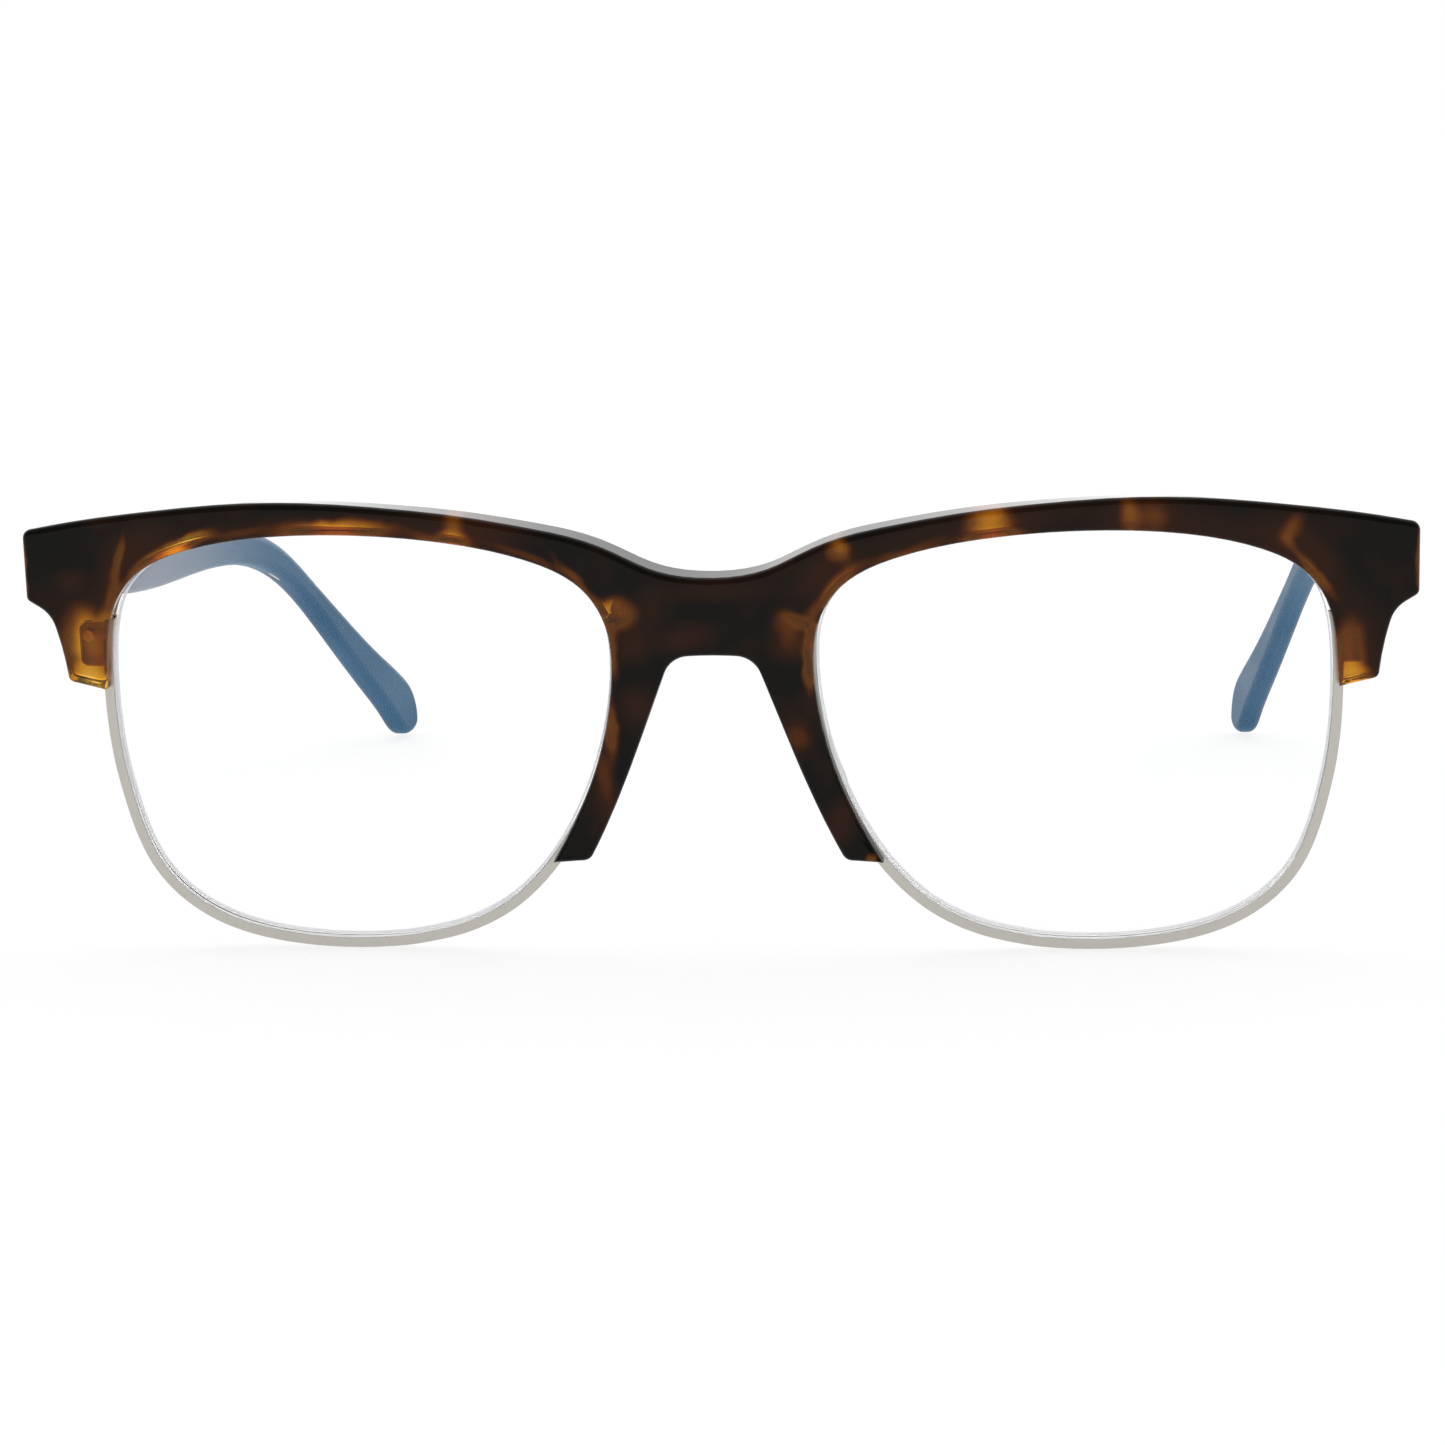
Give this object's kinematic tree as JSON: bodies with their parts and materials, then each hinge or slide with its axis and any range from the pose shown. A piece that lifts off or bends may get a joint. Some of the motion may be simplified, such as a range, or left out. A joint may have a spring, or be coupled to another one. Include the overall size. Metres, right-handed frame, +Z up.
{
  "type": "half rim eyeglasses",
  "caption": "Half rim eyeglasses: a thick acetate brow front with metal rims under clear lenses and two folding acetate temples.",
  "frame": {"origin": "centre of the bounding box's base, on the surface the glasses stand on with the temples open", "axes": "+X to the right seen from the front, +Y from the front back to the temple tips, +Z up"},
  "size_m": [0.1424, 0.1544, 0.0474],
  "materials": {
    "tortoise_acetate": "satin polished near-black brown acetate with amber patches",
    "blue_acetate": "satin translucent slate blue acetate",
    "rim_metal": "fine brushed warm silver",
    "hinge_metal": "nickel silver, satin",
    "core_metal": "drawn wire",
    "lens": "clear with an anti-reflection coating"
  },
  "bodies": {
    "front": {"brow_front": "tortoise_acetate", "left_rim": "rim_metal", "left_lens": "lens", "left_temporal_rim_screw": "hinge_metal", "left_nasal_rim_screw": "hinge_metal", "left_nose_pad": "tortoise_acetate", "left_front_hinge": "hinge_metal", "left_hinge_screw": "hinge_metal", "right_rim": "rim_metal", "right_lens": "lens", "right_temporal_rim_screw": "hinge_metal", "right_nasal_rim_screw": "hinge_metal", "right_nose_pad": "tortoise_acetate", "right_front_hinge": "hinge_metal", "right_hinge_screw": "hinge_metal"},
    "left_temple": {"left_temple": "blue_acetate", "left_temple_hinge": "hinge_metal", "left_temple_core": "core_metal"},
    "right_temple": {"right_temple": "blue_acetate", "right_temple_hinge": "hinge_metal", "right_temple_core": "core_metal"}
  },
  "joints": [
    {"name": "left_temple_fold", "type": "hinge", "parent": "front", "child": "left_temple", "pos_m": [-0.0653, -0.06828, 0.04062], "axis": [0, -0.0438, -0.999], "range_deg": [0, 78]},
    {"name": "right_temple_fold", "type": "hinge", "parent": "front", "child": "right_temple", "pos_m": [0.0653, -0.06828, 0.04062], "axis": [0, 0.0438, 0.999], "range_deg": [0, 85]}
  ]
}
